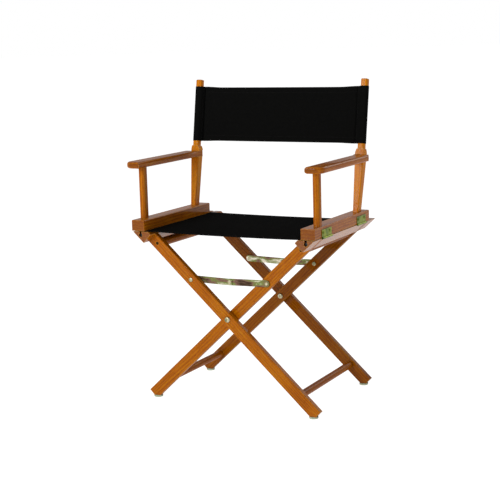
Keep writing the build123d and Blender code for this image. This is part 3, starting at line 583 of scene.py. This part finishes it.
hem_cloth = duck("black_cotton_duck_seat_hem", (0, 0, 0), 1, run=True)
NECK_HALF = 0.00055       # half of the gap between the two plies in the slot's mouth
SLACK = 0.0003            # between a hem and what it is folded round
LIP_R = 0.0008            # the upper ply's bend at the slot's mouth
SEAM_R = 0.0004           # the lower ply's
for side, sign in SIDES.items():
    rod_low, rod_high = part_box(f"{side}_seat_rod")
    centre = (abs(rod_low.x + rod_high.x) / 2, (rod_low.z + rod_high.z) / 2)
    round_rod = (rod_high.z - rod_low.z) / 2 + SLACK + PLY / 2
    flap_in = seat_high.x + SLACK
    upper, lower = seat_top, seat_low.z + PLY / 2
    lean_in = math.asin(NECK_HALF / round_rod)
    rise, fall = centre[0] + NECK_HALF, centre[0] - NECK_HALF
    mesh = bmesh.new()
    path = trace(mesh, (flap_in, upper, 0), [
        (rise - LIP_R, upper),
        ((rise - LIP_R, upper - LIP_R), -QUARTER, 4),
        (rise, centre[1] + round_rod * math.cos(lean_in)),
        (centre, -(2 * math.pi - 2 * lean_in), 28),
        (fall, lower - SEAM_R),
        ((fall - SEAM_R, lower - SEAM_R), QUARTER, 3),
        (flap_in, lower),
    ])
    draw_out(mesh, seat_high.y - seat_low.y, 24)
    # The profile is drawn flat, then stood up: its height becomes Z and its length runs to the
    # rear.
    stand = Matrix(((sign, 0, 0, 0), (0, 0, 1, seat_low.y), (0, 1, 0, 0), (0, 0, 0, 1)))
    bmesh.ops.transform(mesh, matrix=stand, verts=mesh.verts)
    sleeve = in_one_ply(f"{side}_seat_hem", mesh, hem_cloth)
    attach(sleeve, f"{side}_frame")
    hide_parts(f"{side}_seat_sleeve")

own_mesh(seat)
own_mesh(seat_stitches)


# ---------------------------------------------------------------- back canvas
# A band of the same duck with its top and bottom edges turned to the rear and sewn. Each end is
# folded round the back post's neck and sewn back on itself, and slips off over the post's tip.

back_cloth = duck("black_cotton_duck_back", (LEAN, 0, 0), 2)
loop_cloth = duck("black_cotton_duck_loop", (LEAN, 0, 0), 2, run=True)
rail_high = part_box("right_base_rail")[1]
back_low, back_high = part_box("back_panel")
POST_IN = 0.048           # the back post's middle, in from the end of the base rail
NECK_OUT = 0.013          # the neck's middle, in from the base rail's outer face
NECK_FLAT = 0.0045        # half of the neck's flat between its rounded corners
NECK_CORNER = 0.005
HALF_CLOTH = 0.001        # half of the thickness that the frame gives the band
LOOP_LAP = 0.0002         # the loop starts this far out from the band's end
lean_frame = Matrix.Translation((0, rail_high.y - POST_IN, rail_high.z)) @ Matrix.Rotation(
    -LEAN, 4, "X")
low_up = (back_low.z - rail_high.z + HALF_CLOTH * math.sin(LEAN)) / math.cos(LEAN)
high_up = (back_high.z - rail_high.z - HALF_CLOTH * math.sin(LEAN)) / math.cos(LEAN)
back_half = back_high.x


def eased(value):
    value = max(0.0, min(1.0, value))
    return value * value * (3 - 2 * value)


def back_pull(x, up):
    """The pull of the posts on the band: its edges draw in between them, and its face bows back
    and ripples a little."""
    share = (up - low_up) / (high_up - low_up)
    inward = eased((back_half - abs(x)) / 0.055)
    drawn = inward * (0.0014 * (1 - share) - 0.0022 * share)
    bow = 1 - (x / back_half) ** 2
    ripple = math.sin(up * 70 + 2.1 * math.sin(x * 13)) * (x / back_half) ** 2 * bow
    return Vector((0, 0.0030 * bow + 0.0007 * ripple, drawn))


mesh = bmesh.new()
layer(mesh, (-back_half, low_up + TURN), (back_half, high_up - TURN), 0.0, 76, 30)
for value, sign in ((low_up + TURN, -1), (high_up - TURN, 1)):
    turn_under(mesh, 1, value, sign, 2 * TURN)
for vert in mesh.verts:
    x, up, behind = vert.co.x, vert.co.y, -vert.co.z
    vert.co = Vector((x, behind - PLY / 2, up)) + back_pull(x, up)
bmesh.ops.transform(mesh, matrix=lean_frame, verts=mesh.verts)
back = in_one_ply("back_canvas", mesh, back_cloth)
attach(back, "back_cloth")
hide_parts("back_panel")

mesh = bmesh.new()
for edge, sign in ((low_up, 1), (high_up, -1)):
    for inset in HEM_ROWS:
        up = edge + sign * inset
        for face_at in (-PLY, 2 * TURN):
            sew(mesh, (-back_half + 0.001, face_at, up), (back_half - 0.001, face_at, up),
                lambda spot: back_pull(spot.x, spot.z))
bmesh.ops.transform(mesh, matrix=lean_frame, verts=mesh.verts)
back_stitches = piece_from("back_hem_stitches", mesh, [bonded_thread])
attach(back_stitches, "back_cloth")

for side, sign in SIDES.items():
    neck = rail_high.x - NECK_OUT
    round_corner = NECK_CORNER + SLACK + PLY / 2
    start = Vector((back_half + LOOP_LAP, -PLY / 2))
    corner = Vector((neck - NECK_FLAT, -NECK_FLAT))
    away = start - corner
    first = math.atan2(away.y, away.x) + math.acos(round_corner / away.length)
    touch = corner + round_corner * Vector((math.cos(first), math.sin(first)))
    first_turn = 1.5 * math.pi - first % (2 * math.pi)
    front = -NECK_FLAT - round_corner
    out = neck + NECK_FLAT
    mesh = bmesh.new()
    path = trace(mesh, (start.x, start.y, 0), [
        tuple(touch),
        (tuple(corner), first_turn, 4),
        (out, front),
        ((out, -NECK_FLAT), QUARTER, 6),
        (out + round_corner, NECK_FLAT),
        ((out, NECK_FLAT), QUARTER, 6),
        (neck - NECK_FLAT, -front),
        ((neck - NECK_FLAT, NECK_FLAT), first_turn, 4),
        (start.x, PLY / 2 + 0.0001),
    ])
    draw_out(mesh, high_up - low_up, 24)
    stand = Matrix.Translation((0, 0, low_up)) @ Matrix.Diagonal((sign, 1, 1, 1))
    bmesh.ops.transform(mesh, matrix=lean_frame @ stand, verts=mesh.verts)
    loop = in_one_ply(f"{side}_back_loop", mesh, loop_cloth)
    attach(loop, f"{side}_arm")
    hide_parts(f"{side}_back_sleeve")

    mesh = bmesh.new()
    for share in (0.22, 0.42):
        spot = start.lerp(touch, share)
        for face_at in (spot.y - PLY / 2, -spot.y + PLY / 2):
            sew(mesh, (sign * spot.x, face_at, low_up + 0.002),
                (sign * spot.x, face_at, high_up - 0.002))
    for edge, way in ((low_up, 1), (high_up, -1)):
        for inset in HEM_ROWS:
            up = edge + way * inset
            for face_at in (front - PLY / 2, -front + PLY / 2):
                sew(mesh, (sign * (neck - NECK_FLAT), face_at, up), (sign * out, face_at, up))
            outside = sign * (out + round_corner + PLY / 2)
            sew(mesh, (outside, -NECK_FLAT, up), (outside, NECK_FLAT, up))
    bmesh.ops.transform(mesh, matrix=lean_frame, verts=mesh.verts)
    loop_stitches = piece_from(f"{side}_back_loop_stitches", mesh, [bonded_thread])
    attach(loop_stitches, f"{side}_arm")

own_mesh(back)
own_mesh(back_stitches)
